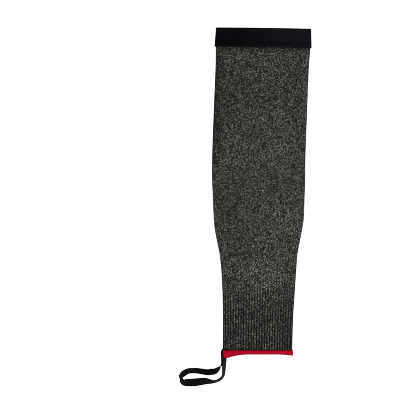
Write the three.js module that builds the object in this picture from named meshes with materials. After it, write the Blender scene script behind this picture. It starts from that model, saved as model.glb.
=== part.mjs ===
// A knitted cut resistant sleeve lying flat on a table, palm side down: a tapering tube of marl knit,
// a wide elastic band round the arm mouth, a bound hem round the cuff and a flat elastic thumb loop
// sewn to the side fold of the cuff. Millimetres, +Z up, +Y from the cuff to the arm band. The origin
// is on the resting underside, at half the length, on the centre line of the sleeve.

import * as THREE from 'three';
import { LoftGeometry } from 'three/addons/geometries/LoftGeometry.js';

// Sleeve
const sleeveLength = 456.6;   // cuff mouth to arm mouth
const armWidth = 132;         // knit laid flat, under the arm band
const cuffWidth = 97;         // knit laid flat, at the hem
const armHeight = 17;         // outside height of the lying tube in the upper arm
const cuffHeight = 13.5;      // the same at the cuff
const foldRadius = 4;         // round of the two side folds
const knitWall = 1.6;
const clearance = 0.3;        // between one sewn piece and the next
const liftRun = 18;           // length over which the underside rises onto a band or hem
const ribCount = 56;          // knitted ribs round the cuff
const ribDepth = 0.45;
const mouthLean = 6.9;        // sideways lean of the centre line at the arm mouth
const mouthSkew = 1.1;        // how far one corner of the arm mouth stands above its middle

// Arm band
const bandHeight = 27;
const bandWall = 1.5;
const bandLap = 9;            // length of knit sewn inside the band

// Cuff hem, a binding folded round the end of the knit
const hemHeight = 5.6;
const hemWall = 0.8;
const hemInside = 4.5;        // height of its inner leg
const loopCornerDrop = 7.4;   // the corner that carries the thumb loop is pulled down
const loopCornerRun = 36;
const farCornerDrop = 1.7;
const farCornerRun = 24;

// Thumb loop, a flat elastic standing on its edge
const loopWidth = 12;
const loopThickness = 0.9;
const loopReach = 57;         // from the cuff out to the far bend
const loopDrop = 40;          // from the cuff mouth down to the lower strand
const loopTab = 2.5;          // the sewn ends stand this far above the hem
const loopSteps = 84;

// One row for each station of the knit. at is the share of sleeveLength from the cuff mouth, flare the
// share of the way from cuffWidth to armWidth, crown the share of the way from cuffHeight to armHeight,
// lean the share of mouthLean, skew the share of mouthSkew and rib the share of ribDepth.
const stations = [
  { at: 0.000, flare: 0.00, crown: 0.00, lean: -0.26, skew: 0.0, rib: 1.0 },
  { at: 0.110, flare: 0.04, crown: 0.05, lean: -0.15, skew: 0.0, rib: 1.0 },
  { at: 0.180, flare: 0.11, crown: 0.20, lean: -0.035, skew: 0.0, rib: 0.8 },
  { at: 0.250, flare: 0.215, crown: 0.40, lean: 0.01, skew: 0.0, rib: 0.4 },
  { at: 0.305, flare: 0.34, crown: 0.55, lean: -0.03, skew: 0.0, rib: 0.2 },
  { at: 0.345, flare: 0.535, crown: 0.75, lean: -0.05, skew: 0.0, rib: 0.1 },
  { at: 0.380, flare: 0.71, crown: 0.85, lean: -0.06, skew: 0.0, rib: 0.0 },
  { at: 0.415, flare: 0.83, crown: 0.90, lean: 0.01, skew: 0.0, rib: 0.0 },
  { at: 0.470, flare: 0.89, crown: 0.96, lean: 0.00, skew: 0.0, rib: 0.0 },
  { at: 0.560, flare: 0.963, crown: 1.00, lean: -0.02, skew: 0.0, rib: 0.0 },
  { at: 0.740, flare: 0.966, crown: 1.00, lean: 0.33, skew: 0.0, rib: 0.0 },
  { at: 0.870, flare: 0.96, crown: 0.95, lean: 0.68, skew: 0.3, rib: 0.0 },
  { at: 0.940, flare: 1.00, crown: 0.80, lean: 0.87, skew: 1.0, rib: 0.0 },
  { at: 1.000, flare: 0.934, crown: 0.65, lean: 0.98, skew: 0.83, rib: 0.0 }
];

// The thumb loop's route, from the inner sewn end round to the outer one. out is the share of loopReach
// away from the cuff's side, down the share of loopDrop below the cuff mouth, lean the tilt of the
// ribbon from upright in degrees, to the left of its run, and ply how many ribbons lie under it there.
const loopRoute = [
  { out: 0.000, down: -0.03, lean: 0, ply: 0 },
  { out: 0.003, down: 0.09, lean: -5, ply: 0 },
  { out: -0.012, down: 0.178, lean: -8, ply: 0 },
  { out: -0.060, down: 0.236, lean: -16, ply: 0 },
  { out: -0.066, down: 0.305, lean: -23, ply: 0 },
  { out: -0.060, down: 0.47, lean: -24, ply: 0 },
  { out: -0.047, down: 0.71, lean: -17, ply: 0 },
  { out: -0.025, down: 0.785, lean: -16, ply: 0 },
  { out: 0.030, down: 0.868, lean: -15, ply: 0 },
  { out: 0.097, down: 0.925, lean: -15, ply: 0 },
  { out: 0.170, down: 0.949, lean: -19, ply: 0 },
  { out: 0.245, down: 0.954, lean: -28, ply: 0 },
  { out: 0.392, down: 0.936, lean: -50, ply: 0 },
  { out: 0.540, down: 0.96, lean: -61, ply: 0 },
  { out: 0.640, down: 0.976, lean: -66, ply: 0 },
  { out: 0.850, down: 0.988, lean: -59, ply: 0 },
  { out: 0.931, down: 0.97, lean: -48, ply: 0 },
  { out: 0.972, down: 0.918, lean: -33, ply: 0 },
  { out: 0.980, down: 0.846, lean: -22, ply: 0 },
  { out: 0.980, down: 0.768, lean: -28, ply: 0 },
  { out: 0.936, down: 0.68, lean: -39, ply: 0 },
  { out: 0.820, down: 0.586, lean: -36, ply: 0 },
  { out: 0.640, down: 0.569, lean: -36, ply: 0 },
  { out: 0.540, down: 0.583, lean: -37, ply: 0 },
  { out: 0.343, down: 0.624, lean: -41, ply: 0 },
  { out: 0.245, down: 0.608, lean: -43, ply: 0 },
  { out: 0.170, down: 0.596, lean: -40, ply: 0 },
  { out: 0.110, down: 0.542, lean: -30, ply: 0 },
  { out: 0.052, down: 0.464, lean: -14, ply: 0 },
  { out: -0.012, down: 0.392, lean: 7, ply: 1 },
  { out: -0.045, down: 0.33, lean: 22, ply: 1 },
  { out: -0.060, down: 0.29, lean: 22, ply: 1 },
  { out: -0.049, down: 0.248, lean: 16, ply: 1 },
  { out: -0.002, down: 0.188, lean: 8, ply: 1 },
  { out: 0.004, down: 0.09, lean: 5, ply: 1 },
  { out: 0.000, down: -0.03, lean: 0, ply: 1 }
];

const pointsRound = 2 * ribCount;
const cuffMouthY = -sleeveLength / 2;

function rampUp(value, start, end) {
  return THREE.MathUtils.smoothstep(value, start, end);
}

// The outside of the knit at a distance along the sleeve from its cuff mouth.
function stationAt(along) {
  const share = THREE.MathUtils.clamp(along / sleeveLength, 0, 1);
  const next = Math.max(1, stations.findIndex((row) => row.at >= share));
  const low = stations[next - 1];
  const high = stations[next];
  const mix = (share - low.at) / (high.at - low.at);
  const column = (name) => THREE.MathUtils.lerp(low[name], high[name], mix);

  const bandStart = sleeveLength - bandHeight;
  const bandLift = (bandWall + clearance) * rampUp(along, bandStart - liftRun, bandStart);
  const hemLift = (hemWall + clearance) * rampUp(-along, -hemHeight - liftRun, -hemHeight);
  return {
    width: THREE.MathUtils.lerp(cuffWidth, armWidth, column('flare')),
    height: THREE.MathUtils.lerp(cuffHeight, armHeight, column('crown')),
    centre: mouthLean * column('lean'),
    skew: mouthSkew * column('skew'),
    rib: ribDepth * column('rib'),
    lift: bandLift + hemLift
  };
}

// A point of the lying tube's section and its outward normal, at a share of the way round: half of a
// flat underside, a round side fold and half of a low crown, then the same mirrored.
function roundSection(station, share) {
  const side = share < 0.5 ? -1 : 1;
  const flat = station.width / 2 - foldRadius;
  const rise = station.height - 2 * foldRadius;
  const crownRadius = (flat * flat / rise + station.height) / 2;
  const crownCentre = station.height - crownRadius;
  const crownAngle = Math.atan2(flat, foldRadius - crownCentre);
  const foldAngle = Math.PI - crownAngle;
  const foldLength = foldRadius * foldAngle;
  const halfLength = flat + foldLength + crownRadius * crownAngle;

  let run = halfLength * 2 * Math.min(share, 1 - share);
  if (run < flat) {
    return { x: side * run, z: 0, nx: 0, nz: -1 };
  }
  run -= flat;
  if (run < foldLength) {
    const turn = run / foldRadius;
    const nx = side * Math.sin(turn);
    const nz = -Math.cos(turn);
    return { x: side * flat + foldRadius * nx, z: foldRadius * (1 + nz), nx, nz };
  }
  const turn = crownAngle - (run - foldLength) / crownRadius;
  const nx = side * Math.sin(turn);
  const nz = Math.cos(turn);
  return { x: crownRadius * nx, z: crownCentre + crownRadius * nz, nx, nz };
}

// How far the hem's edge is pulled down at a place across the cuff, deepest near its two corners.
function cornerPull(x, station) {
  const fromLoopSide = x + station.width / 2;
  const fromFarSide = station.width / 2 - x;
  const nearLoop = Math.max(0, 1 - fromLoopSide / loopCornerRun);
  const nearFar = Math.max(0, 1 - fromFarSide / farCornerRun);
  const foldEase = 0.6 + 0.4 * rampUp(fromLoopSide, -hemWall, foldRadius);
  return loopCornerDrop * nearLoop * nearLoop * foldEase + farCornerDrop * nearFar * nearFar;
}

// A point of the sleeve at a distance along it, a share of the way round and an offset out of the knit.
function sleevePoint(along, share, out) {
  const station = stationAt(along);
  const spot = roundSection(station, share);
  const x = spot.x + spot.nx * out;
  const pull = cornerPull(x, station) * rampUp(-along, -hemHeight, 0);
  const skew = station.skew * x / (armWidth / 2);
  return new THREE.Vector3(
    station.centre + x,
    cuffMouthY + along - skew - pull,
    station.lift + spot.z + spot.nz * out
  );
}

// A closed shell swept round the sleeve: each profile point is one ring, and the last ring meets the first.
function shellRound(profile) {
  const rings = [...profile, profile[0]].map((spot) => {
    const ring = [];
    for (let k = 0; k < pointsRound; k += 1) {
      const groove = spot.ribbed && k % 2 === 1 ? stationAt(spot.along).rib : 0;
      ring.push(sleevePoint(spot.along, k / pointsRound, spot.out - groove));
    }
    return ring;
  });
  return new LoftGeometry(rings);
}

function knitGeometry() {
  const knitStart = hemWall + clearance;
  const knitEnd = sleeveLength - bandHeight + bandLap;
  const bandStart = sleeveLength - bandHeight;
  const free = stations.map((row) => row.at * sleeveLength)
    .filter((along) => along > hemHeight + liftRun && along < bandStart - liftRun);
  const places = [
    knitStart, hemHeight, hemHeight + liftRun, ...free,
    bandStart - liftRun, bandStart, knitEnd
  ];
  const outside = places.map((along) => ({ along, out: 0, ribbed: true }));
  const inside = places.map((along) => ({ along, out: -knitWall })).reverse();
  return shellRound([...outside, ...inside]);
}

function bandGeometry() {
  const bandStart = sleeveLength - bandHeight;
  return shellRound([
    { along: bandStart, out: clearance },
    { along: bandStart, out: clearance + bandWall },
    { along: sleeveLength, out: clearance + bandWall },
    { along: sleeveLength, out: clearance }
  ]);
}

// A U-shaped binding: an outer leg, a rounded fold under the end of the knit and a shorter inner leg.
function hemGeometry() {
  const innerFace = -knitWall - clearance;
  return shellRound([
    { along: hemHeight, out: clearance },
    { along: hemWall, out: clearance },
    { along: hemWall, out: innerFace },
    { along: hemInside, out: innerFace },
    { along: hemInside, out: innerFace - hemWall },
    { along: hemWall, out: innerFace - hemWall },
    { along: 0, out: innerFace },
    { along: 0, out: clearance },
    { along: hemWall, out: clearance + hemWall },
    { along: hemHeight, out: clearance + hemWall }
  ]);
}

// The ribbon's centre line as points whose third coordinate is its lean in radians.
function loopCurve() {
  const cuff = stationAt(hemHeight / 2);
  const cuffSide = cuff.centre - cuff.width / 2 - clearance - hemWall;
  const place = (row, y) => new THREE.Vector3(
    cuffSide - (clearance + loopThickness / 2) - row.ply * (loopThickness + clearance) - row.out * loopReach,
    y,
    THREE.MathUtils.degToRad(row.lean)
  );
  const tabY = cuffMouthY + hemHeight + loopTab;
  const route = loopRoute.map((row) => place(row, cuffMouthY - row.down * loopDrop));
  route.unshift(place(loopRoute[0], tabY));
  route.push(place(loopRoute[loopRoute.length - 1], tabY));
  return new THREE.CatmullRomCurve3(route, false, 'centripetal');
}

// The ribbon stands on one edge all the way: its middle rises and sinks with its lean.
function loopGeometry() {
  const curve = loopCurve();
  const sections = [];
  for (let step = 0; step <= loopSteps; step += 1) {
    const spot = curve.getPointAt(step / loopSteps);
    const run = curve.getTangentAt(step / loopSteps).setZ(0).normalize();
    const lean = spot.z;
    const left = new THREE.Vector3(-run.y, run.x, 0);
    const up = left.clone().multiplyScalar(Math.sin(lean)).add(new THREE.Vector3(0, 0, Math.cos(lean)));
    const face = new THREE.Vector3().crossVectors(run, up);
    const lowEdge = (loopWidth * Math.cos(lean) + loopThickness * Math.abs(Math.sin(lean))) / 2;
    const middle = new THREE.Vector3(spot.x, spot.y, lowEdge);
    const corner = (across, high) => middle.clone()
      .addScaledVector(face, across * loopThickness / 2)
      .addScaledVector(up, high * loopWidth / 2);
    sections.push([corner(-1, -1), corner(-1, 1), corner(1, 1), corner(1, -1)]);
  }
  return new LoftGeometry(sections, { capStart: true, capEnd: true });
}

const knitMaterial = new THREE.MeshStandardMaterial({ color: 0x3b3a38, roughness: 0.92, metalness: 0 });
const bandMaterial = new THREE.MeshStandardMaterial({ color: 0x0f0e12, roughness: 0.75, metalness: 0 });
const hemMaterial = new THREE.MeshStandardMaterial({ color: 0xb00c28, roughness: 0.7, metalness: 0 });
const loopMaterial = new THREE.MeshStandardMaterial({ color: 0x131215, roughness: 0.7, metalness: 0 });

function part(name, geometry, material) {
  const mesh = new THREE.Mesh(geometry, material);
  mesh.name = name;
  return mesh;
}

const sleeve = new THREE.Group();
sleeve.add(
  part('knit_sleeve', knitGeometry(), knitMaterial),
  part('arm_band', bandGeometry(), bandMaterial),
  part('cuff_hem', hemGeometry(), hemMaterial),
  part('thumb_loop', loopGeometry(), loopMaterial)
);

export default sleeve;
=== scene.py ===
import math
import bpy
import numpy as np
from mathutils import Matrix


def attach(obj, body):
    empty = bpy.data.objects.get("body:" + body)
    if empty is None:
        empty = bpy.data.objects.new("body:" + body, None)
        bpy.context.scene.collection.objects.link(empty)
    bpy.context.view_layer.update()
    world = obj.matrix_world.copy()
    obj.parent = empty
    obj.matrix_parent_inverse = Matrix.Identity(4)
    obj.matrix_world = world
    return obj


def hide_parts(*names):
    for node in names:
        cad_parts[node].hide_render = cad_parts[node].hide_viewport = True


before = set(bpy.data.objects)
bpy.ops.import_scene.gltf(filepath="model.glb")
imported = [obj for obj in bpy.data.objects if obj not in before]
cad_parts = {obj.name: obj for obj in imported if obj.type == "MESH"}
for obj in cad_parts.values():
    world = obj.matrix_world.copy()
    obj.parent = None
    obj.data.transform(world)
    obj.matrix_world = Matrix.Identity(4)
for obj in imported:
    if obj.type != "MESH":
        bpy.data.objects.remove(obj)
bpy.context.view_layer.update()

mm = 0.001
body = "root"

# The lying sleeve, in millimetres: a flat underside, two round side folds and a low crown
sleeve = {
    "length": 456.6,          # cuff mouth to arm mouth
    "armWidth": 132.0,
    "cuffWidth": 97.0,
    "armHeight": 17.0,
    "cuffHeight": 13.5,
    "foldRadius": 4.0,
    "knitWall": 1.6,
    "clearance": 0.3,
    "liftRun": 18.0,          # the underside rises onto a band or hem over this length
    "mouthLean": 6.9,
    "mouthSkew": 1.1,
    "bandHeight": 27.0,
    "bandWall": 1.5,
    "bandLap": 9.0,
    "hemHeight": 5.6,
    "hemWall": 0.8,
    "hemInside": 4.5,
    "loopCornerDrop": 7.4,
    "loopCornerRun": 36.0,
    "loopCornerEase": 7.5,    # the corner is rounded off over this width
    "farCornerDrop": 1.7,
    "farCornerRun": 24.0,
}

# Shares along the length, as the frame's solid has them, eased into each other here:
# place, flare of the width, crown, lean of the middle line, skew and depth of the ribs
stationRows = np.array([
    (0.000, 0.00, 0.00, -0.26, 0.0, 1.0),
    (0.110, 0.04, 0.05, -0.15, 0.0, 1.0),
    (0.180, 0.11, 0.20, -0.035, 0.0, 0.8),
    (0.250, 0.215, 0.40, 0.01, 0.0, 0.4),
    (0.305, 0.34, 0.55, -0.03, 0.0, 0.2),
    (0.345, 0.535, 0.75, -0.05, 0.0, 0.1),
    (0.380, 0.71, 0.85, -0.06, 0.0, 0.0),
    (0.415, 0.83, 0.90, 0.01, 0.0, 0.0),
    (0.470, 0.89, 0.96, 0.00, 0.0, 0.0),
    (0.560, 0.963, 1.00, -0.02, 0.0, 0.0),
    (0.740, 0.966, 1.00, 0.33, 0.0, 0.0),
    (0.870, 0.96, 0.95, 0.68, 0.3, 0.0),
    (0.940, 1.00, 0.80, 0.87, 1.0, 0.0),
    (1.000, 0.934, 0.65, 0.98, 0.83, 0.0),
])

cuffMouthY = -sleeve["length"] / 2
bandStart = sleeve["length"] - sleeve["bandHeight"]


# Shape helpers

def rampUp(value, start, end):
    share = np.clip((value - start) / (end - start), 0, 1)
    return share * share * (3 - 2 * share)


def easeRows(at, level, where):
    # a cubic through the rows that never swings past them
    gap = np.diff(at)
    rise = np.diff(level) / gap
    slope = np.zeros(len(at))
    slope[0], slope[-1] = rise[0], rise[-1]
    before, after = rise[:-1], rise[1:]
    same = before * after > 0
    firstWeight, lastWeight = 2 * gap[1:] + gap[:-1], gap[1:] + 2 * gap[:-1]
    safeBefore, safeAfter = np.where(same, before, 1), np.where(same, after, 1)
    mean = (firstWeight + lastWeight) / (firstWeight / safeBefore + lastWeight / safeAfter)
    slope[1:-1] = np.where(same, mean, 0)
    row = np.clip(np.searchsorted(at, where, side="right") - 1, 0, len(gap) - 1)
    span = gap[row]
    t = (where - at[row]) / span
    return ((1 + 2 * t) * (1 - t) ** 2 * level[row] + t * (1 - t) ** 2 * span * slope[row]
            + t * t * (3 - 2 * t) * level[row + 1] - t * t * (1 - t) * span * slope[row + 1])


def stationAt(along):
    share = np.clip(along / sleeve["length"], 0, 1)
    at, *levels = stationRows.T
    flare, crown, lean, skew, rib = [easeRows(at, level, share) for level in levels]
    bandLift = sleeve["bandWall"] + sleeve["clearance"]
    hemLift = sleeve["hemWall"] + sleeve["clearance"]
    hemTop = sleeve["hemHeight"]
    return {
        "width": sleeve["cuffWidth"] + (sleeve["armWidth"] - sleeve["cuffWidth"]) * flare,
        "height": sleeve["cuffHeight"] + (sleeve["armHeight"] - sleeve["cuffHeight"]) * crown,
        "centre": sleeve["mouthLean"] * lean,
        "skew": sleeve["mouthSkew"] * skew,
        "rib": rib,
        "lift": (bandLift * rampUp(along, bandStart - sleeve["liftRun"], bandStart)
                 + hemLift * (1 - rampUp(along, hemTop, hemTop + sleeve["liftRun"]))),
    }


def roundSection(station, share):
    # from the middle of the underside to the -X fold, over the crown and back by the +X fold
    radius = sleeve["foldRadius"]
    flat = station["width"] / 2 - radius
    rise = station["height"] - 2 * radius
    crownRadius = (flat * flat / rise + station["height"]) / 2
    crownCentre = station["height"] - crownRadius
    crownAngle = np.arctan2(flat, radius - crownCentre)
    foldLength = radius * (math.pi - crownAngle)
    halfLength = flat + foldLength + crownRadius * crownAngle
    side = np.where(share < 0.5, -1.0, 1.0)
    run = halfLength * 2 * np.minimum(share, 1 - share)
    foldTurn = (run - flat) / radius
    crownTurn = crownAngle - (run - flat - foldLength) / crownRadius
    under, fold = run < flat, run < flat + foldLength
    nx = np.where(under, 0, np.where(fold, side * np.sin(foldTurn), side * np.sin(crownTurn)))
    nz = np.where(under, -1, np.where(fold, -np.cos(foldTurn), np.cos(crownTurn)))
    x = np.where(under, side * run, np.where(fold, side * flat + radius * nx, crownRadius * nx))
    z = np.where(under, 0, np.where(fold, radius * (1 + nz), crownCentre + crownRadius * nz))
    return x, z, nx, nz


def cornerPull(x, station):
    fromLoopSide = x + station["width"] / 2
    nearLoop = np.maximum(0, 1 - fromLoopSide / sleeve["loopCornerRun"])
    nearFar = np.maximum(0, 1 - (station["width"] / 2 - x) / sleeve["farCornerRun"])
    foldEase = 0.6 + 0.4 * rampUp(fromLoopSide, -sleeve["hemWall"], sleeve["loopCornerEase"])
    return (sleeve["loopCornerDrop"] * nearLoop ** 2 * foldEase
            + sleeve["farCornerDrop"] * nearFar ** 2)


def sleevePoints(along, share, out):
    # points in millimetres for arrays of places along the sleeve, round it and out of the knit
    along, share, out = np.broadcast_arrays(along, share, out)
    station = stationAt(along)
    x, z, nx, nz = roundSection(station, share)
    x = x + nx * out
    pull = cornerPull(x, station) * (1 - rampUp(along, 0, sleeve["hemHeight"]))
    skew = station["skew"] * x / (sleeve["armWidth"] / 2)
    y = cuffMouthY + along - skew - pull
    return np.stack([station["centre"] + x, y, station["lift"] + z + nz * out], axis=-1)


# Mesh helpers

def meshPiece(name, points, faces, mapName, mapPoints, flatFaces=0):
    # the last flatFaces faces aren't shaded smooth
    mesh = bpy.data.meshes.new(name)
    mesh.from_pydata((points.reshape(-1, 3) * mm).tolist(), [], faces)
    layer = mesh.uv_layers.new(name=mapName)
    layer.data.foreach_set("uv", mapPoints.astype(np.float32).ravel())
    smoothFaces = len(faces) - flatFaces
    mesh.polygons.foreach_set("use_smooth", [True] * smoothFaces + [False] * flatFaces)
    mesh.update()
    piece = bpy.data.objects.new(name, mesh)
    bpy.context.scene.collection.objects.link(piece)
    return piece


def roundGrid(points, mapAround, mapProfile):
    # quads of a closed profile swept round; the map runs on past its seam, not back
    rows, around = points.shape[:2]
    index = np.arange(rows * around).reshape(rows, around)
    right, above = np.roll(index, -1, axis=1), np.roll(index, -1, axis=0)
    faces = np.stack([index, right, np.roll(right, -1, axis=0), above], axis=-1).reshape(-1, 4)
    return faces.tolist(), mapCorners(np.linspace(0, mapAround, around + 1), mapProfile, "xy")


def mapCorners(u, v, indexing):
    # map places of the four corners of each quad, with u and v the lines between the quads
    lines = [(u[:-1], v[:-1]), (u[1:], v[:-1]), (u[1:], v[1:]), (u[:-1], v[1:])]
    grids = [np.stack(np.meshgrid(*line, indexing=indexing), axis=-1) for line in lines]
    return np.stack(grids, axis=2).reshape(-1, 2)


def lengthRound(*sides):
    # how far round a closed outline each of its points lies, with the whole length last
    step = np.sqrt(sum(np.diff(side, append=side[0]) ** 2 for side in sides))
    return np.concatenate([[0], np.cumsum(step)])


def lengthAlong(points):
    return np.concatenate([[0], np.cumsum(np.linalg.norm(np.diff(points, axis=0), axis=1))])


def unitRows(vectors):
    return vectors / np.maximum(np.linalg.norm(vectors, axis=-1, keepdims=True), 1e-12)


def threadPiece(name, route, facing, radius, sides=6, closed=False):
    # a round thread along a route, with facing as the side that looks out of the cloth
    if closed:
        run = np.roll(route, -1, axis=0) - np.roll(route, 1, axis=0)
    else:
        run = np.gradient(route, axis=0)
    run = unitRows(run)
    across = unitRows(np.cross(run, facing))
    up = np.cross(across, run)
    turn = np.arange(sides) / sides * 2 * math.pi
    ring = across[:, None] * np.cos(turn)[None, :, None] + up[:, None] * np.sin(turn)[None, :, None]
    points = route[:, None] + ring * radius
    index = np.arange(len(route) * sides).reshape(-1, sides)
    nextSide = np.roll(index, -1, axis=1)
    rows = slice(None) if closed else slice(0, -1)
    upRow, upSide = np.roll(index, -1, axis=0)[rows], np.roll(nextSide, -1, axis=0)[rows]
    faces = np.stack([index[rows], upRow, upSide, nextSide[rows]], axis=-1).reshape(-1, 4).tolist()
    if not closed:
        faces += [index[0].tolist(), index[-1][::-1].tolist()]
    travelled = lengthAlong(route)
    corners = np.concatenate(faces)
    mapPoints = np.stack([travelled[corners // sides], (corners % sides) / sides], axis=-1)
    return meshPiece(name, points, faces, "threadMap", mapPoints)


# Node helpers

def plug(tree, socket, value):
    if isinstance(value, bpy.types.NodeSocket):
        tree.links.new(value, socket)
    else:
        socket.default_value = value


def calc(tree, operation, *values):
    node = tree.nodes.new("ShaderNodeMath")
    node.operation = operation
    for socket, value in zip(node.inputs, values):
        plug(tree, socket, value)
    return node.outputs[0]


def plus(tree, first, *others):
    for value in others:
        first = calc(tree, "ADD", first, value)
    return first


def minus(tree, first, second):
    return calc(tree, "SUBTRACT", first, second)


def times(tree, first, second):
    return calc(tree, "MULTIPLY", first, second)


def most(tree, first, *others):
    for value in others:
        first = calc(tree, "MAXIMUM", first, value)
    return first


def humpOf(tree, share, power=2.0):
    # 1 in the middle of the share, falling to 0 at both of its ends
    fromMiddle = calc(tree, "ABSOLUTE", minus(tree, times(tree, share, 2.0), 1.0))
    return minus(tree, 1.0, calc(tree, "POWER", fromMiddle, power))


def waveOf(tree, turns, operation="SINE"):
    return calc(tree, operation, times(tree, turns, 2 * math.pi))


def mixColours(tree, factor, low, high):
    node = tree.nodes.new("ShaderNodeMix")
    node.data_type = "RGBA"
    plug(tree, node.inputs[0], factor)
    plug(tree, node.inputs[6], low)
    plug(tree, node.inputs[7], high)
    return node.outputs[2]


def rangeOf(tree, value, fromLow, fromHigh, toLow, toHigh):
    node = tree.nodes.new("ShaderNodeMapRange")
    node.clamp = True
    for socket, number in zip(node.inputs, (value, fromLow, fromHigh, toLow, toHigh)):
        plug(tree, socket, number)
    return node.outputs[0]


def cellNoise(tree, x, y):
    # one random value for each whole-number cell
    joined = tree.nodes.new("ShaderNodeCombineXYZ")
    plug(tree, joined.inputs[0], x)
    plug(tree, joined.inputs[1], y)
    noise = tree.nodes.new("ShaderNodeTexWhiteNoise")
    noise.noise_dimensions = "2D"
    tree.links.new(joined.outputs[0], noise.inputs["Vector"])
    return noise.outputs["Value"]


def cloudNoise(tree, vector, scale, detail, roughness=0.5):
    noise = tree.nodes.new("ShaderNodeTexNoise")
    plug(tree, noise.inputs["Vector"], vector)
    plug(tree, noise.inputs["Scale"], scale)
    noise.inputs["Detail"].default_value = detail
    noise.inputs["Roughness"].default_value = roughness
    return noise.outputs["Fac"]


def partsOf(tree, vector):
    split = tree.nodes.new("ShaderNodeSeparateXYZ")
    tree.links.new(vector, split.inputs[0])
    return split.outputs[0], split.outputs[1]


def mapParts(tree, mapName):
    uv = tree.nodes.new("ShaderNodeUVMap")
    uv.uv_map = mapName
    return partsOf(tree, uv.outputs[0])


def newGroup(name, inputs, outputs):
    group = bpy.data.node_groups.new(name, "ShaderNodeTree")
    for label, kind, level in inputs:
        socket = group.interface.new_socket(name=label, in_out="INPUT", socket_type=kind)
        if level is not None:
            socket.default_value = level
    for label in outputs:
        group.interface.new_socket(name=label, in_out="OUTPUT", socket_type="NodeSocketFloat")
    start = group.nodes.new("NodeGroupInput")
    end = group.nodes.new("NodeGroupOutput")
    return group, start.outputs, end.inputs


def placeGroup(tree, group, **values):
    node = tree.nodes.new("ShaderNodeGroup")
    node.node_tree = group
    for label, value in values.items():
        plug(tree, node.inputs[label], value)
    return node.outputs


def newMaterial(name, **settings):
    material = bpy.data.materials.new(name)
    material.use_nodes = True
    tree = material.node_tree
    shader = tree.nodes["Principled BSDF"]
    for label, value in settings.items():
        shader.inputs[label].default_value = value
    return material, tree, shader


def dressShader(tree, shader, colour, grain, roughness, height, distance, strength):
    # the grain carries the roughness from its first level to its second
    tree.links.new(colour, shader.inputs["Base Color"])
    tree.links.new(rangeOf(tree, grain, 0.0, 1.0, *roughness), shader.inputs["Roughness"])
    bump = tree.nodes.new("ShaderNodeBump")
    bump.inputs["Distance"].default_value = distance
    bump.inputs["Strength"].default_value = strength
    plug(tree, bump.inputs["Height"], height)
    tree.links.new(bump.outputs[0], shader.inputs["Normal"])


# Shared effects

def buildYarnFuzz():
    # fine fibre breakup for yarn and thread
    group, given, made = newGroup(
        "yarnFuzz", [("Place", "NodeSocketVector", None), ("Scale", "NodeSocketFloat", 900.0)],
        ["Tone", "Height"])
    links = group.links
    fine = cloudNoise(group, given["Place"], given["Scale"], detail=3.0, roughness=0.7)
    links.new(rangeOf(group, fine, 0.25, 0.75, 0.0, 1.0), made["Tone"])
    links.new(fine, made["Height"])
    return group


def buildElasticWeave():
    # covered rubber cords that run along the tape, bound down by fine picks
    group, given, made = newGroup(
        "elasticWeave",
        [("Along", "NodeSocketFloat", 0.0), ("Across", "NodeSocketFloat", 0.0),
         ("Cord Pitch", "NodeSocketFloat", 1.0), ("Pick Pitch", "NodeSocketFloat", 0.6)],
        ["Tone", "Height"])
    links = group.links
    cord = calc(group, "DIVIDE", given["Across"], given["Cord Pitch"])
    cordCell = calc(group, "FLOOR", cord)
    crest = humpOf(group, calc(group, "FRACT", cord), power=2.5)
    stagger = times(group, calc(group, "MODULO", cordCell, 2.0), 0.5)
    picks = plus(group, calc(group, "DIVIDE", given["Along"], given["Pick Pitch"]), stagger)
    pick = calc(group, "ABSOLUTE", calc(group, "SINE", times(group, picks, math.pi)))
    height = plus(group, times(group, crest, 0.7), times(group, pick, 0.3))
    grain = cellNoise(group, calc(group, "FLOOR", picks), cordCell)
    links.new(plus(group, times(group, height, 0.75), times(group, grain, 0.25)), made["Tone"])
    links.new(height, made["Height"])
    return group


def placeUnevenness(tree, look):
    place = tree.nodes.new("ShaderNodeTexCoord").outputs["Object"]
    drift = placeGroup(tree, handledTone, Place=place, Scale=look["driftScale"])["Tone"]
    fuzz = placeGroup(tree, yarnFuzz, Place=place, Scale=look["fuzzScale"])
    return place, drift, fuzz


def placeWeave(tree, look):
    along, across = mapParts(tree, "weaveMap")
    return placeGroup(tree, elasticWeave, Along=along, Across=across,
                      **{"Cord Pitch": look["cordPitch"], "Pick Pitch": look["pickPitch"]})


def buildHandledTone():
    # slow light and dark drift of cloth that has been handled and folded
    group, given, made = newGroup(
        "handledTone", [("Place", "NodeSocketVector", None), ("Scale", "NodeSocketFloat", 18.0)],
        ["Tone"])
    slow = cloudNoise(group, given["Place"], given["Scale"], detail=2.5, roughness=0.55)
    group.links.new(rangeOf(group, slow, 0.3, 0.7, 0.0, 1.0), made["Tone"])
    return group


yarnFuzz = buildYarnFuzz()
elasticWeave = buildElasticWeave()
handledTone = buildHandledTone()

# Knit sleeve

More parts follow.
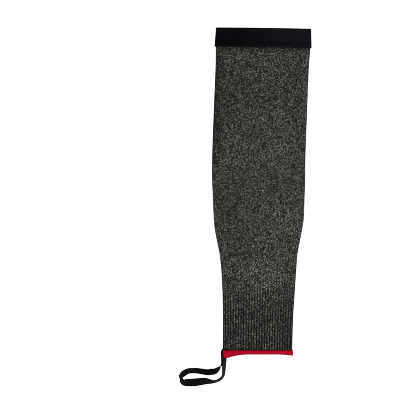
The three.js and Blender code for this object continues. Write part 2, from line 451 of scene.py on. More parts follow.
knitSleeve = {
    "ribCount": 56,
    "ribDepth": 0.45,
    "innerRib": 0.4,           # how much of the ribs the inside shows
    "samplesPerRib": 8,
    "outerStep": 3.0,          # millimetres between rings outside
    "innerStep": 9.0,
    "courseHeight": 1.0,
    "swell": 0.9,              # slow rise and fall of the upper side
    "swellRuns": [(0.021, 0.052, 0.4), (-0.034, 0.031, 2.1), (0.012, -0.083, 4.4), (0.055, 0.019, 1.2)],
    "swellStart": (12, 50),    # it comes in over this run above the hem
    "swellEnd": (45, 8),       # and goes out again over this one below the band
    "stitchSlant": 0.75,
    "stitchRelief": 0.00045,
    "darkYarn": (0.0092, 0.0089, 0.0084, 1.0),
    "lightYarn": (0.510, 0.499, 0.464, 1.0),
    # the deepest yarn colour, used also for painted shade
    "deepToneAndShade": (0.0030, 0.0029, 0.0028, 1.0),
    "lightBias": 3.4,          # higher leaves fewer light flecks
    "twistTone": 0.16,         # light and dark along the twist of one yarn
    "fuzzTone": 0.36,
    "fuzzScale": 1900.0,
    "drift": 0.36,             # slow unevenness of the whole cloth
    "driftScale": 16.0,
    "sideShade": 0.62,          # painted shade darkening the cuff's far side
    "armShade": 0.41,           # and painted shade on the arm
    "armShadeRun": (95.0, 150.0),
    "seamShade": 0.74,          # and painted shadow beside the two seams
    "bandShadeRun": 21.0,
    "hemShadeRun": 5.4,
    "waleTone": 0.58,          # whole wales of the ribs run darker or lighter
    "plainStripe": 0.16,       # how far the rib stripes, painted shade in their valleys, show where the knit is plain
    "ribStripe": 1.0,
    "foldShade": 0.28,          # painted shade: the forearm's loop-side fold is darker
    "foldWales": (2.0, 8.0),
    "foldShadeRun": (210.0, 130.0),  # below the band
    "stripePower": 1.3,
    "streakScale": (0.8, 0.11),  # across the wales and along them
}


def swellAt(along, share, nz):
    # slow unevenness of the crown, none on the underside or next to the band and the hem
    x = (share - 0.5) * 2 * sleeve["armWidth"]
    wave = sum(np.sin(2 * math.pi * (fx * x + fy * along / 2.2) + phase)
               for fx, fy, phase in knitSleeve["swellRuns"]) / len(knitSleeve["swellRuns"])
    top = rampUp(nz, 0.55, 0.95)
    start, end = [bandStart - below for below in knitSleeve["swellEnd"]]
    ends = rampUp(along, *knitSleeve["swellStart"]) * (1 - rampUp(along, start, end))
    return knitSleeve["swell"] * wave * top * ends


def buildKnitSleeve():
    look = knitSleeve
    around = look["ribCount"] * look["samplesPerRib"]
    share = np.arange(around) / around
    start = sleeve["hemWall"] + sleeve["clearance"]
    end = bandStart + sleeve["bandLap"]
    outer = np.linspace(start, end, int((end - start) / look["outerStep"]) + 1)
    inner = np.linspace(end, start, int((end - start) / look["innerStep"]) + 1)
    rim = np.array([0.25, 0.5, 0.75])
    wall = sleeve["knitWall"]
    bulge = 0.5 * np.sin(rim * math.pi)
    along = np.concatenate([outer, end + bulge, inner, start - bulge * 0.4])
    out = np.concatenate([np.zeros(len(outer)), -wall * rim, np.full(len(inner), -wall), -wall * rim[::-1]])
    station = stationAt(along[:, None])
    nz = roundSection(station, share[None, :])[3]
    swell = swellAt(along[:, None], share[None, :], nz)
    ribHigh = look["ribDepth"] * station["rib"]
    groove = ribHigh * (0.5 - 0.5 * np.cos(2 * math.pi * look["ribCount"] * share))
    outside = (np.arange(len(along)) < len(outer))[:, None]
    offset = out[:, None] + swell - np.where(outside, groove, look["innerRib"] * (ribHigh - groove))
    points = sleevePoints(along[:, None], share[None, :], offset)
    profile = np.concatenate([along, along[:1]]) / look["courseHeight"]
    faces, mapPoints = roundGrid(points, 2 * look["ribCount"], profile)
    piece = meshPiece("knitSleeve", points, faces, "stitchMap", mapPoints)
    rib = piece.data.attributes.new("ribShare", "FLOAT", "POINT")
    rib.data.foreach_set("value", np.broadcast_to(station["rib"], offset.shape).astype(np.float32).ravel())
    return piece


def buildMarlKnit():
    look = knitSleeve
    material, tree, shader = newMaterial("marlKnit", **{"Specular IOR Level": 0.06})
    wale, course = mapParts(tree, "stitchMap")
    place, drift, fuzz = placeUnevenness(tree, look)
    placeX, placeY = partsOf(tree, place)

    # two slanting legs to a stitch, each a round hump
    middle = plus(tree, wale, 0.5)         # a wale sits on each whole number
    leg = times(tree, middle, 2.0)
    legCell = calc(tree, "FLOOR", leg)
    legLocal = calc(tree, "FRACT", leg)
    offMiddle = minus(tree, calc(tree, "FRACT", middle), 0.5)
    fromMiddle = times(tree, calc(tree, "ABSOLUTE", offMiddle), 2.0)
    slanted = minus(tree, course, times(tree, fromMiddle, look["stitchSlant"]))
    courseCell = calc(tree, "FLOOR", slanted)
    courseLocal = calc(tree, "FRACT", slanted)
    relief = calc(tree, "SQRT", times(tree, humpOf(tree, legLocal), humpOf(tree, courseLocal)))

    # marl yarn, light or dark by the stitch
    pickOf = cellNoise(tree, legCell, courseCell)
    twist = waveOf(tree, plus(
        tree, times(tree, courseLocal, 1.6), times(tree, legLocal, 0.9), times(tree, pickOf, 7.0)))
    marl = plus(tree, calc(tree, "POWER", pickOf, look["lightBias"]), times(tree, twist, look["twistTone"]),
                times(tree, minus(tree, fuzz["Tone"], 0.5), look["fuzzTone"]))
    marl = most(tree, calc(tree, "MINIMUM", marl, 1.0), 0.0)
    yarn = mixColours(tree, marl, look["darkYarn"], look["lightYarn"])
    yarn = mixColours(tree, rangeOf(tree, drift, 0.0, 1.0, look["drift"], 0.0), yarn, look["deepToneAndShade"])

    # painted shade: darker on the cuff's far side, on the arm, on the forearm's loop-side fold, beside the
    # two seams and just above the hem
    towardsCuff = calc(tree, "MINIMUM", calc(tree, "DIVIDE", placeY, 0.16), 0.0)
    nearLoop = times(tree, calc(tree, "DIVIDE", placeX, 0.055), towardsCuff)
    sideShade = rangeOf(tree, nearLoop, -1.1, -0.1, look["sideShade"], 0.0)
    alongKnit = times(tree, course, look["courseHeight"])
    armShade = rangeOf(tree, alongKnit, *look["armShadeRun"], 0.0, look["armShade"])
    fromFold = calc(tree, "ABSOLUTE", minus(tree, wale, look["ribCount"] / 2))
    foldStart, foldEnd = [bandStart - below for below in look["foldShadeRun"]]
    foldShade = times(tree, rangeOf(tree, fromFold, *look["foldWales"], look["foldShade"], 0.0),
                     rangeOf(tree, alongKnit, foldStart, foldEnd, 0.0, 1.0))
    bandShade = rangeOf(tree, alongKnit, bandStart - look["bandShadeRun"], bandStart, 0.0, look["seamShade"])
    hemTop = sleeve["hemHeight"]
    hemShade = rangeOf(tree, alongKnit, hemTop, hemTop + look["hemShadeRun"], look["seamShade"], 0.0)
    # painted shadow on the knit just above the hem
    gatherShade = rangeOf(tree, alongKnit, hemTop + 0.9, hemTop + 2.1, 0.9, 0.0)

    # streaks that run a few stitches along a rib before they change
    rib = tree.nodes.new("ShaderNodeAttribute")
    rib.attribute_name = "ribShare"
    streakPlace = tree.nodes.new("ShaderNodeCombineXYZ")
    for socket, way, scale in zip(streakPlace.inputs, (middle, course), look["streakScale"]):
        plug(tree, socket, times(tree, way, scale))
    streak = rangeOf(tree, cloudNoise(tree, streakPlace.outputs[0], 1.0, detail=1.0), 0.36, 0.64, 0.0, 1.0)
    waleTone = times(tree, streak, times(tree, rib.outputs["Fac"], look["waleTone"]))
    # painted shade and the darker wales both take the yarn towards its deepest colour
    shadeAndWaleTone = most(tree, sideShade, waleTone, plus(tree, armShade, foldShade), bandShade, hemShade, gatherShade)
    yarn = mixColours(tree, shadeAndWaleTone, yarn, look["deepToneAndShade"])

    # painted shade in the valleys between the ribs and in the gaps between the stitches
    ridge = plus(tree, times(tree, calc(tree, "COSINE", times(tree, wale, math.pi)), 0.5), 0.5)
    stripe = rangeOf(tree, calc(tree, "POWER", rib.outputs["Fac"], look["stripePower"]), 0.0, 1.0,
                     look["plainStripe"], look["ribStripe"])
    stripe = times(tree, stripe, rangeOf(tree, drift, 0.0, 1.0, 0.8, 1.05))
    valley = times(tree, minus(tree, 1.0, ridge), stripe)
    gap = rangeOf(tree, relief, 0.1, 0.55, 0.75, 0.0)
    colour = mixColours(tree, most(tree, gap, valley), yarn, look["deepToneAndShade"])
    height = minus(tree, plus(tree, relief, times(tree, fuzz["Height"], 0.25)), times(tree, valley, 0.5))
    dressShader(tree, shader, colour, marl, (0.95, 0.82), height, look["stitchRelief"], 0.8)
    return material


knit = buildKnitSleeve()
knit.data.materials.append(buildMarlKnit())
print("knit sleeve:", len(knit.data.polygons), "faces")

# Arm band

armBand = {
    "around": 336,
    "edgeRows": 5,
    "faceRows": 14,
    "selvedge": 0.16,          # the woven edges stand a little proud
    "selvedgeAt": 1.2,
    "selvedgeRun": 0.9,
    "cordPitch": 1.15,
    "pickPitch": 0.8,
    "black": (0.0014, 0.0008, 0.0014, 1.0),
    # the lighter end, reached by the weave, the slow drift and the painted light
    "wornAndLit": (0.0092, 0.0080, 0.0114, 1.0),
    "sewnLine": 5.5,           # above its lower edge, where the seam pulls the elastic in; painted shade darkens it there
    "sewnRun": 4.0,
    "sewnShade": 0.8,
    "edgeRun": 0.6,            # how far the rounded edges run in
    "fadeTone": 0.60,          # painted light: greyer towards the far side
    "weaveTone": 0.22,
    "driftTone": 0.26,
    "driftScale": 26.0,
    "fuzzScale": 1100.0,
    "relief": 0.00018,
}


def buildArmBand():
    look = armBand
    inner, outer = sleeve["clearance"], sleeve["clearance"] + sleeve["bandWall"]
    middle, half = (inner + outer) / 2, sleeve["bandWall"] / 2
    turn = np.linspace(-math.pi / 2, math.pi / 2, look["edgeRows"] * 2 + 1)
    reach = look["edgeRun"]
    face = np.linspace(bandStart + reach, sleeve["length"] - reach, look["faceRows"] + 2)[1:-1]
    along = np.concatenate([face, sleeve["length"] - reach + reach * np.cos(turn), face[::-1],
                            bandStart + reach - reach * np.cos(turn)])
    rounding = half * np.sin(turn)
    out = np.concatenate([np.full(len(face), outer), middle - rounding, np.full(len(face), inner),
                          middle + rounding])
    fromEdge = np.minimum(along - bandStart, sleeve["length"] - along)
    bump = np.exp(-((fromEdge - look["selvedgeAt"]) / look["selvedgeRun"]) ** 2)
    proud = look["selvedge"] * bump * (out > middle)
    share = np.arange(look["around"]) / look["around"]
    points = sleevePoints(along[:, None], share[None, :], (out + proud)[:, None])
    faces, mapPoints = roundGrid(points, 2 * sleeve["armWidth"], lengthRound(along, out))
    return meshPiece("armBand", points, faces, "weaveMap", mapPoints)


def buildBandElastic():
    look = armBand
    material, tree, shader = newMaterial("bandElastic", **{"Specular IOR Level": 0.02})
    weave = placeWeave(tree, look)
    place, drift, fuzz = placeUnevenness(tree, look)
    placeX, placeY = partsOf(tree, place)
    # painted light: the elastic greys towards the +X side
    litSide = rangeOf(tree, placeX, -0.030, 0.075, 0.0, look["fadeTone"])
    tone = plus(tree, litSide, times(tree, weave["Tone"], look["weaveTone"]),
                times(tree, drift, look["driftTone"]))
    # painted shade along the sewn line, speckled
    sewnY = (cuffMouthY + bandStart + look["sewnLine"]) * mm
    fromSewn = calc(tree, "ABSOLUTE", minus(tree, placeY, sewnY))
    sewn = rangeOf(tree, fromSewn, 0.0, look["sewnRun"] * mm, 1.0, 0.0)
    speckle = rangeOf(tree, cloudNoise(tree, place, 260.0, detail=1.0), 0.4, 0.62, 0.15, 1.0)
    gatherShade = times(tree, times(tree, sewn, speckle), look["sewnShade"])
    tone = times(tree, tone, minus(tree, 1.0, gatherShade))
    colour = mixColours(tree, tone, look["black"], look["wornAndLit"])
    dressShader(tree, shader, colour, fuzz["Tone"], (0.62, 0.78), weave["Height"], look["relief"], 0.7)
    return material


band = buildArmBand()
band.data.materials.append(buildBandElastic())
print("arm band:", len(band.data.polygons), "faces")

# Band seam, a black zigzag that holds the elastic's lower edge to the knit

bandSeam = {
    "stitches": 78,
    "pointsPerStitch": 12,
    "onBand": 2.3,             # reach over the elastic
    "onKnit": 0.7,             # reach over the knit
    "riseRun": (-0.35, 0.45),  # over the elastic's edge
    "thread": 0.17,            # radius
    "twist": 0.9,              # length of one turn of the thread
    "fuzzScale": 2200.0,
    "black": (0.0016, 0.0013, 0.0017, 1.0),
    "lit": (0.0056, 0.0050, 0.0062, 1.0),
}


def buildBandSeam():
    look = bandSeam
    count = look["stitches"] * look["pointsPerStitch"]
    share = np.arange(count) / count
    swing = 0.5 + 0.5 * np.cos(2 * math.pi * look["stitches"] * share)
    swing = rampUp(swing, 0.08, 0.92)
    along = bandStart - look["onKnit"] + (look["onBand"] + look["onKnit"]) * swing
    onBand = rampUp(along - bandStart, *look["riseRun"])
    bandFace = sleeve["clearance"] + sleeve["bandWall"] + look["thread"] * 0.7
    out = look["thread"] * 0.6 + (bandFace - look["thread"] * 0.6) * onBand
    route = sleevePoints(along, share, out)
    facing = unitRows(sleevePoints(along, share, out + 1) - sleevePoints(along, share, out))
    route[:, 2] = np.maximum(route[:, 2], look["thread"] * 1.05)
    return threadPiece("bandSeam", route, facing, look["thread"], closed=True)


def buildSewingThread():
    look = bandSeam
    material, tree, shader = newMaterial("sewingThread", **{"Specular IOR Level": 0.06})
    run, turn = mapParts(tree, "threadMap")
    ply = waveOf(tree, plus(tree, calc(tree, "DIVIDE", run, look["twist"]), times(tree, turn, 2.0)))
    place = tree.nodes.new("ShaderNodeTexCoord").outputs["Object"]
    fuzz = placeGroup(tree, yarnFuzz, Place=place, Scale=look["fuzzScale"])
    tone = times(tree, plus(tree, times(tree, ply, 0.5), 0.5), fuzz["Tone"])
    colour = mixColours(tree, tone, look["black"], look["lit"])
    dressShader(tree, shader, colour, fuzz["Tone"], (0.5, 0.7), ply, 0.00005, 0.6)
    return material


seam = buildBandSeam()
sewingThread = buildSewingThread()
seam.data.materials.append(sewingThread)
print("band seam:", len(seam.data.polygons), "faces")

# Cuff hem, thread wrapped closely round the end of the knit

cuffHem = {
    "wraps": 224,
    "samplesPerWrap": 5,
    "wrapRelief": 0.13,
    "yarnRelief": 0.00016,
    "wrapLean": 0.22,          # turns by which a wrap drifts over the height of the hem
    "topRun": 1.6,             # the part of the height that is uneven
    "topReach": 0.25,          # how far it reaches over the knit on average
    "toothHeight": 0.7,        # every wrap ends a little higher or lower on the knit
    "needleLine": 4.5,         # where the needle thread pulls the wraps in
    "needleDepth": 0.28,
    "belly": 0.10,             # how far the wraps stand out below it
    "unevenTop": [(37, 0.3), (61, 2.0), (89, 4.1)],  # waves round the cuff and their phases
    "unevenBy": 0.14,
    "fuzzScale": 1500.0,
    "pickTone": 0.3,
    "driftTone": 0.25,
    "driftScale": 60.0,
    "mottleTone": 0.45,
    "mottleScale": 420.0,
    "red": (0.405, 0.0012, 0.0180, 1.0),
    # shade painted into the grooves between the wraps
    "grooveShadeRed": (0.24, 0.0012, 0.010, 1.0),
    "shadeRed": (0.200, 0.0006, 0.008, 1.0),
    "litRed": (0.545, 0.0026, 0.0280, 1.0),
}


def buildCuffHem():
    look = cuffHem
    wall, gap, knit = sleeve["hemWall"], sleeve["clearance"], sleeve["knitWall"]
    height, inside = sleeve["hemHeight"], sleeve["hemInside"]
    outerIn, outerOut = gap, gap + wall
    innerOut, innerIn = -knit - gap, -knit - gap - wall
    turn = np.linspace(0, math.pi / 2, 4)
    cap = np.linspace(0, math.pi, 5)
    half = wall / 2
    parts = [
        (np.linspace(height - half, wall, 3), np.full(3, outerIn)),  # down beside the knit
        (np.full(2, wall), np.array([outerIn - 0.6, innerOut + 0.6])),  # under its end
        (np.linspace(wall, inside - half, 3), np.full(3, innerOut)),
        (inside - half + half * np.sin(cap[1:-1]), innerOut - half + half * np.cos(cap[1:-1])),
        (np.linspace(inside - half, wall, 3), np.full(3, innerIn)),
        (wall - wall * np.sin(turn[1:]), innerIn + wall - wall * np.cos(turn[1:])),
        (wall - wall * np.cos(turn), outerOut - wall + wall * np.sin(turn)),
        (np.linspace(wall, height - half, 8)[1:], np.full(7, outerOut)),  # up the outside
        (height - half + half * np.sin(cap[1:-1]), outerIn + half + half * np.cos(cap[1:-1])),
    ]
    along = np.concatenate([part[0] for part in parts])
    out = np.concatenate([part[1] for part in parts])
    top = len(along) - len(parts[-1][0])
    foot = top - len(parts[-2][0])
    outside = np.arange(len(along)) >= foot
    waist = look["needleDepth"] * np.exp(-((along - look["needleLine"]) / 0.55) ** 2)
    belly = look["belly"] * np.sin(math.pi * np.clip(along / look["needleLine"], 0, 1))
    profileRun = [np.roll(side, -1) - np.roll(side, 1) for side in (along, out)]
    normal = unitRows(np.stack([-profileRun[1], profileRun[0]], axis=-1))
    around = look["wraps"] * look["samplesPerWrap"]
    share = np.arange(around) / around
    phase = 2 * math.pi * (look["wraps"] * share[None, :] + look["wrapLean"] * along[:, None] / height)
    shown = (out > outerIn + 0.05) | (along < wall * 0.9) | (out < innerOut - 0.05)
    ripple = look["wrapRelief"] * (0.5 * np.cos(phase) - 0.5) * shown[:, None]
    wide = (out + np.where(outside, belly - waist, 0))[:, None] + ripple * normal[:, 1:]
    tooth = look["toothHeight"] / 2 * np.sin(phase + 1.0)
    uneven = look["unevenBy"] * sum(
        np.sin(2 * math.pi * waves * share + start) for waves, start in look["unevenTop"])
    nearTop = (rampUp(along, height - look["topRun"], height) * outside)[:, None]
    tall = along[:, None] + ripple * normal[:, :1] + (look["topReach"] + uneven + tooth) * nearTop
    points = sleevePoints(tall, share[None, :], wide)
    profile = lengthRound(along, out)
    faces, mapPoints = roundGrid(points, look["wraps"], profile)
    piece = meshPiece("cuffHem", points, faces, "wrapMap", mapPoints)
    return piece, float(profile[foot]), float(profile[top])


def buildHemYarn(foot, top):
    # foot and top: where the outside of the hem starts and ends on the map
    look = cuffHem
    material, tree, shader = newMaterial("hemYarn", **{"Specular IOR Level": 0.05})
    wrap, run = mapParts(tree, "wrapMap")
    drifted = plus(tree, wrap, times(tree, run, look["wrapLean"] / sleeve["hemHeight"]))
    wrapCell = calc(tree, "FLOOR", plus(tree, drifted, 0.5))
    pickOf = cellNoise(tree, wrapCell, calc(tree, "FLOOR", times(tree, run, 0.6)))
    groove = minus(tree, 0.5, times(tree, waveOf(tree, drifted, "COSINE"), 0.5))
    place, drift, fuzz = placeUnevenness(tree, look)
    mottle = rangeOf(tree, cloudNoise(tree, place, look["mottleScale"], detail=1.0), 0.36, 0.64, 0.0, 1.0)
    tone = plus(tree, times(tree, pickOf, look["pickTone"]), times(tree, drift, look["driftTone"]),
                times(tree, mottle, look["mottleTone"]))
    colour = mixColours(tree, tone, look["red"], look["litRed"])
    # painted shade in the grooves between the wraps
    colour = mixColours(tree, times(tree, calc(tree, "POWER", groove, 2.0), 0.7), colour, look["grooveShadeRed"])
    # painted shade along the top of the hem and on the roll of its foot
    topShade = rangeOf(tree, run, top - look["topRun"], top - 0.1, 0.0, 0.75)
    footShade = rangeOf(tree, run, foot, foot + 1.3, 0.3, 0.0)
    colour = mixColours(tree, most(tree, topShade, footShade), colour, look["shadeRed"])
    plies = waveOf(tree, plus(tree, times(tree, run, 1.4), drifted))
    height = plus(tree, times(tree, fuzz["Height"], 0.6), times(tree, plies, 0.25))
    dressShader(tree, shader, colour, fuzz["Tone"], (0.6, 0.85), height, look["yarnRelief"], 0.7)
    return material


hem, hemFoot, hemTop = buildCuffHem()
hem.data.materials.append(buildHemYarn(hemFoot, hemTop))
print("cuff hem:", len(hem.data.polygons), "faces")

# Thumb loop, a flat elastic that stands on its edge

thumbLoop = {
    "width": 12.0,
    "thickness": 0.9,
    "reach": 57.0,
    "drop": 40.0,
    "tab": 2.5,
    "steps": 300,
    "cordPitch": 0.95,
    "pickPitch": 0.7,
    "black": (0.0006, 0.0004, 0.0006, 1.0),
    # the lighter end of the weave and the slow drift, where no painted shade falls
    "wornAndLit": (0.0058, 0.0051, 0.0058, 1.0),
    "rubbedAndLit": (0.0150, 0.0148, 0.0155, 1.0),
    "rubAndLightRun": (5.5, 1.5),      # from the cuff's side
    "shadeRun": (33.0, 28.0),  # below the cuff mouth, between the two strands
    "shade": 0.25,
    "relief": 0.00022,
    "fuzzScale": 1300.0,
    "driftScale": 70.0,
    "fleckScale": 900.0,
    "slim": 0.16,              # the middle is thinner than the woven edges by this share
    "pressed": 0.45,           # the bar tack presses the plies thinner by this share
    "pinched": 0.25,           # and pulls them narrower
    "pinchedRun": (-4.5, -1.0),  # measured up from the cuff mouth
    "cuffReach": 8.0,          # beyond this the strap no longer lies beside the cuff
    "hugEnd": (2.4, 6.4),      # below the cuff mouth the strap leaves the fold and stands up
    "tuck": 3.3,               # it turns in under the corner of the hem
    "tuckAt": 6.8,             # below the cuff mouth
    "tuckRun": 2.2,
    "tuckEnd": (11.0, 15.0),
    "tuckLean": 31.0,          # degrees
    "tuckLeanRun": 2.7,
    "outerLean": 0.62,         # share of it that the outer ply leans the other way
}

# Share of the reach, share of the drop, degrees from upright, and the ply's number.
# A few rows lie up to a millimetre off those of the solid.
loopRoute = [
    (0.000, -0.03, 0, 0),
    (0.003, 0.09, -5, 0),
    (-0.012, 0.178, -8, 0),
    (-0.060, 0.236, -19, 0),
    (-0.066, 0.305, -23, 0),
    (-0.060, 0.47, -24, 0),
    (-0.047, 0.71, -17, 0),
    (-0.025, 0.785, -16, 0),
    (0.030, 0.864, -18, 0),
    (0.097, 0.920, -18, 0),
    (0.170, 0.949, -19, 0),
    (0.245, 0.954, -28, 0),
    (0.392, 0.936, -50, 0),
    (0.540, 0.96, -61, 0),
    (0.640, 0.976, -66, 0),
    (0.850, 0.988, -59, 0),
    (0.931, 0.97, -48, 0),
    (0.968, 0.918, -33, 0),
    (0.984, 0.846, -22, 0),
    (0.994, 0.768, -28, 0),
    (0.936, 0.68, -39, 0),
    (0.820, 0.586, -36, 0),
    (0.640, 0.569, -36, 0),
    (0.540, 0.583, -37, 0),
    (0.343, 0.624, -41, 0),
    (0.245, 0.608, -43, 0),
    (0.170, 0.596, -40, 0),
    (0.110, 0.542, -30, 0),
    (0.052, 0.464, -14, 0),
    (-0.012, 0.392, 7, 1),
    (-0.045, 0.33, 22, 1),
    (-0.054, 0.29, 23, 1),
    (-0.044, 0.248, 20, 1),
    (-0.002, 0.188, 8, 1),
    (0.004, 0.09, 5, 1),
    (0.000, -0.03, 0, 1),
]


def loopSide():
    cuff = stationAt(np.array([sleeve["hemHeight"] / 2]))
    return float(cuff["centre"][0] - cuff["width"][0] / 2 - sleeve["clearance"] - sleeve["hemWall"])


def loopPlace(out, down, lean, ply):
    look = thumbLoop
    firstPly = sleeve["clearance"] + look["thickness"] / 2
    plyStep = look["thickness"] + sleeve["clearance"]
    x = loopSide() - firstPly - ply * plyStep - out * look["reach"]
    return [x, cuffMouthY - down * look["drop"], math.radians(lean)]


def besideCuff(line):
    return line[:, 0] > loopSide() - thumbLoop["cuffReach"]


def tuckLoop(line, ply):
    # the two plies press together and turn in under the corner of the hem
    look = thumbLoop
    below = cuffMouthY - line[:, 1]
    nearCuff = (1 - rampUp(below, *look["tuckEnd"])) * besideCuff(line)
    bump = look["tuck"] * np.exp(-((below - look["tuckAt"]) / look["tuckRun"]) ** 2)
    leanBump = np.exp(-((below - look["tuckAt"] + 0.8) / look["tuckLeanRun"]) ** 2)
    side = np.where(ply > 0, look["outerLean"], -1.0)
    line[:, 0] += nearCuff * (sleeve["clearance"] * ply + bump * (1 - 0.1 * ply))
    line[:, 2] += nearCuff * leanBump * side * math.radians(look["tuckLean"])
    return line


def hugPoints(y, ply, high, outward):
    # strap points wrapped round the fold of the hem and, above it, of the knit
    look = thumbLoop
    proud = sleeve["hemWall"] + sleeve["clearance"]
    hemTop = cuffMouthY + sleeve["hemHeight"]
    foldX, foldZ = loopSide() + sleeve["foldRadius"] + proud, sleeve["foldRadius"] + proud
    thin = 1 - look["pressed"] * rampUp(y, cuffMouthY + 2.0, hemTop + 0.5)
    narrow = 1 - look["pinched"] * rampUp(y - cuffMouthY, *look["pinchedRun"])
    radius = (sleeve["foldRadius"] + proud * (1 - rampUp(y, hemTop - 0.2, hemTop + 1.2))
              + (ply + 0.5) * look["thickness"] * thin)[:, None]
    turn = high * narrow[:, None] / radius
    reach = radius + outward * thin[:, None]
    return np.stack([foldX - reach * np.cos(turn), np.broadcast_to(y[:, None], reach.shape),
                     foldZ + reach * np.sin(turn)], axis=-1)


def curveThrough(knots, samples):
    # the frame's centripetal curve through the knots, sampled evenly by length
    knots = np.concatenate([[2 * knots[0] - knots[1]], knots, [2 * knots[-1] - knots[-2]]])
    pieces = []
    for a, b, c, d in zip(knots[:-3], knots[1:-2], knots[2:-1], knots[3:]):
        gapA, gapB, gapC = (math.sqrt(np.linalg.norm(q - p)) for p, q in ((a, b), (b, c), (c, d)))
        leave = ((b - a) / gapA - (c - a) / (gapA + gapB) + (c - b) / gapB) * gapB
        arrive = ((c - b) / gapB - (d - b) / (gapB + gapC) + (d - c) / gapC) * gapB
        t = np.linspace(0, 1, 24, endpoint=False)[:, None]
        pieces.append((1 + 2 * t) * (1 - t) ** 2 * b + t * (1 - t) ** 2 * leave
                      + t * t * (3 - 2 * t) * c - t * t * (1 - t) * arrive)
    fine = np.concatenate([*pieces, knots[-2:-1]])
    travelled = lengthAlong(fine)
    places = np.linspace(0, travelled[-1], samples)
    return np.stack([np.interp(places, travelled, fine[:, axis]) for axis in range(3)], axis=-1), places


def buildThumbLoop():
    look = thumbLoop
    tabDown = -(sleeve["hemHeight"] + look["tab"]) / look["drop"]
    route = [(0.0, tabDown, 0, 0), *loopRoute, (0.0, tabDown, 0, 1)]
    line, travelled = curveThrough(np.array([loopPlace(*row) for row in route]), look["steps"] + 1)
    ply = (np.arange(len(line)) > len(line) / 2) * 1.0
    line = tuckLoop(line, ply)
    lean = line[:, 2]
    run = unitRows(np.gradient(line[:, :2], axis=0))
    run = np.column_stack([run, np.zeros(len(run))])
    left = np.column_stack([-run[:, 1], run[:, 0], np.zeros(len(run))])
    up = left * np.sin(lean)[:, None] + np.array([0, 0, 1.0]) * np.cos(lean)[:, None]
    face = np.cross(run, up)
    lowEdge = (look["width"] * np.cos(lean) + look["thickness"] * np.abs(np.sin(lean))) / 2
    middle = np.column_stack([line[:, :2], lowEdge])

    # a rounded tape section, a little thicker along its two woven edges
    halfWide, halfThick = look["width"] / 2, look["thickness"] / 2
    turn = np.linspace(-math.pi / 2, math.pi / 2, 7)
    flat = np.linspace(-halfWide + halfThick, halfWide - halfThick, 9)
    high = np.concatenate([flat, halfWide - halfThick + halfThick * np.cos(turn[1:-1]),
                           flat[::-1], -halfWide + halfThick - halfThick * np.cos(turn[1:-1])])
    across = np.concatenate([np.full(9, -halfThick), halfThick * np.sin(turn[1:-1]),
                             np.full(9, halfThick), -halfThick * np.sin(turn[1:-1])])
    slim = 1 - look["slim"] * (1 - (high / halfWide) ** 6)
    thick = (across * slim)[None, :]
    points = middle[:, None] + face[:, None] * thick[..., None] + up[:, None] * high[None, :, None]
    hug = (1 - rampUp(cuffMouthY - line[:, 1], *look["hugEnd"])) * besideCuff(line)
    outward = np.where(ply > 0, -1.0, 1.0)[:, None] * thick
    wrapped = hugPoints(line[:, 1], ply, high[None, :], outward)
    points = points + (wrapped - points) * hug[:, None, None]
    rows, around = points.shape[:2]
    index = np.arange(rows * around).reshape(rows, around)
    right = np.roll(index, -1, axis=1)
    faces = np.stack([index[:-1], index[1:], right[1:], right[:-1]], axis=-1).reshape(-1, 4).tolist()
    faces += [index[0].tolist(), index[-1][::-1].tolist()]
    endMap = np.column_stack([np.zeros(2 * around), np.tile(high, 2)])
    mapPoints = np.concatenate([mapCorners(travelled, lengthRound(across, high), "ij"), endMap])
    return meshPiece("thumbLoop", points, faces, "weaveMap", mapPoints, flatFaces=2)


def buildLoopElastic():
    look = thumbLoop
    material, tree, shader = newMaterial("loopElastic", **{"Specular IOR Level": 0.03})
    weave = placeWeave(tree, look)
    place, drift, fuzz = placeUnevenness(tree, look)
    placeX, placeY = partsOf(tree, place)
    tone = plus(tree, times(tree, weave["Tone"], 0.7), times(tree, drift, 0.3))
    # painted shade: the upper strand is darker than the lower one, with a few pale flecks
    lower, upper = [(cuffMouthY - below) * mm for below in look["shadeRun"]]
    shaded = rangeOf(tree, placeY, lower, upper, 1.0, look["shade"])
    fleck = rangeOf(tree, cloudNoise(tree, place, look["fleckScale"], detail=1.0), 0.56, 0.70, 0.0, 0.9)
    tone = most(tree, times(tree, tone, shaded), times(tree, fleck, tone))
    # greyer beside the cuff: painted light on the strap's stem, and wear where the palm rubs it
    rubAndLightStart, rubAndLightEnd = [(loopSide() - beside) * mm for beside in look["rubAndLightRun"]]
    rubAndLight = rangeOf(tree, placeX, rubAndLightStart, rubAndLightEnd, 0.0, 1.0)
    rubAndLight = times(tree, rubAndLight, rangeOf(tree, fuzz["Tone"], 0.0, 1.0, 0.25, 1.0))
    rubAndLight = most(tree, rubAndLight, times(tree, fleck, 0.4))
    colour = mixColours(tree, tone, look["black"], look["wornAndLit"])
    colour = mixColours(tree, rubAndLight, colour, look["rubbedAndLit"])
    dressShader(tree, shader, colour, fuzz["Tone"], (0.55, 0.75), weave["Height"], look["relief"], 0.8)
    return material


loop = buildThumbLoop()
loop.data.materials.append(buildLoopElastic())
print("thumb loop:", len(loop.data.polygons), "faces")

# Bar tack that sews both ends of the loop to the fold of the cuff

barTack = {
    "rows": 15,
    "steps": 8,
    "pitch": 0.42,
    "reach": 5.0,              # to either side of the strap's middle
    "thread": 0.16,
}


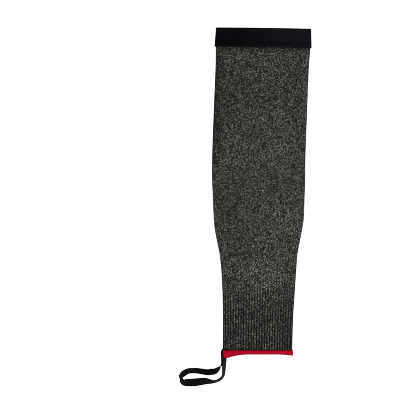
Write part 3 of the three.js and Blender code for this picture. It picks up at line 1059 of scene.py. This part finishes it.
def buildBarTack():
    look = barTack
    startY = cuffMouthY + sleeve["hemHeight"] + thumbLoop["tab"] - 0.6
    share = np.linspace(0, 1, look["steps"], endpoint=False)
    swing = look["reach"] * (1 - 2 * share)
    high = np.concatenate([swing if row % 2 == 0 else -swing for row in range(look["rows"])])
    proud = thumbLoop["thickness"] / 2 + look["thread"] * (0.75 - 0.9 * (high / look["reach"]) ** 6)
    y = startY - look["pitch"] * np.arange(len(high)) / look["steps"]
    route = hugPoints(y, 1, high[:, None], proud[:, None])[:, 0]
    inside = hugPoints(y, 1, high[:, None], 0.0)[:, 0]
    return threadPiece("barTack", route, unitRows(route - inside), look["thread"])


tack = buildBarTack()
tack.data.materials.append(sewingThread)
print("bar tack:", len(tack.data.polygons), "faces")

for piece, node, slot in (
        (knit, "knit_sleeve", "marl_knit"), (band, "arm_band", "elastic_band"),
        (hem, "cuff_hem", "hem_binding"), (loop, "thumb_loop", "loop_elastic")):
    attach(piece, body)
    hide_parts(node)
for piece, slot in ((seam, "elastic_band"), (tack, "loop_elastic")):
    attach(piece, body)

widths = stationAt(np.linspace(0, bandStart + sleeve["bandLap"], 200))["width"]

# Floor, light and camera

studio = {
    "floorSize": 12.0,
    "floorColour": (0.86, 0.86, 0.86, 1.0),
    "floorGlow": 1.0,          # seen by the camera only
    "skyLight": 0.26,
    "key": dict(place=(0.45, -0.6, 1.7), size=0.9, power=30.5),
    "fill": dict(place=(-0.9, 0.9, 1.5), size=1.4, power=1.0),
    "cameraPlace": (-0.0822, -0.0122, 6.226),
    "lens": 400.0,
}


def buildFloor():
    half = studio["floorSize"] / 2
    mesh = bpy.data.meshes.new("floor")
    mesh.from_pydata([(-half, -half, 0), (half, -half, 0), (half, half, 0), (-half, half, 0)],
                     [], [(0, 1, 2, 3)])
    floor = bpy.data.objects.new("floor", mesh)
    bpy.context.scene.collection.objects.link(floor)
    material, tree, shader = newMaterial(
        "paleFloor", **{"Roughness": 0.9, "Specular IOR Level": 0.0})
    # to the camera the floor is plain paper white, to the light it is a pale floor
    seen = tree.nodes.new("ShaderNodeLightPath").outputs["Is Camera Ray"]
    tree.links.new(mixColours(tree, seen, studio["floorColour"], (0, 0, 0, 1)), shader.inputs["Base Color"])
    shader.inputs["Emission Color"].default_value = (1, 1, 1, 1)
    tree.links.new(times(tree, seen, studio["floorGlow"]), shader.inputs["Emission Strength"])
    mesh.materials.append(material)


def buildSky():
    world = bpy.data.worlds.new("studioSky")
    bpy.context.scene.world = world
    world.use_nodes = True
    tree = world.node_tree
    sky = tree.nodes["Background"]
    sky.inputs["Color"].default_value = (1, 1, 1, 1)
    path = tree.nodes.new("ShaderNodeLightPath")
    strength = rangeOf(tree, path.outputs["Is Camera Ray"], 0.0, 1.0, studio["skyLight"], 1.0)
    tree.links.new(strength, sky.inputs["Strength"])


def buildLight(name, look):
    data = bpy.data.lights.new(name, "AREA")
    data.shape = "SQUARE"
    data.size = look["size"]
    data.energy = look["power"]
    lamp = bpy.data.objects.new(name, data)
    x, y, z = look["place"]
    lamp.location = (x, y, z)
    lamp.rotation_euler = (math.atan2(math.hypot(x, y), z), 0, math.atan2(-x, y) + math.pi)
    lamp.visible_camera = False
    bpy.context.scene.collection.objects.link(lamp)


def buildCamera():
    data = bpy.data.cameras.new("camera")
    data.lens = studio["lens"]
    data.sensor_width = 36.0
    camera = bpy.data.objects.new("camera", data)
    camera.location = studio["cameraPlace"]
    bpy.context.scene.collection.objects.link(camera)
    bpy.context.scene.camera = camera


buildFloor()
buildSky()
buildLight("keyLight", studio["key"])
buildLight("fillLight", studio["fill"])
buildCamera()
bpy.context.scene.view_settings.view_transform = "Standard"
bpy.context.scene.cycles.filter_width = 0.9
print("studio ready")
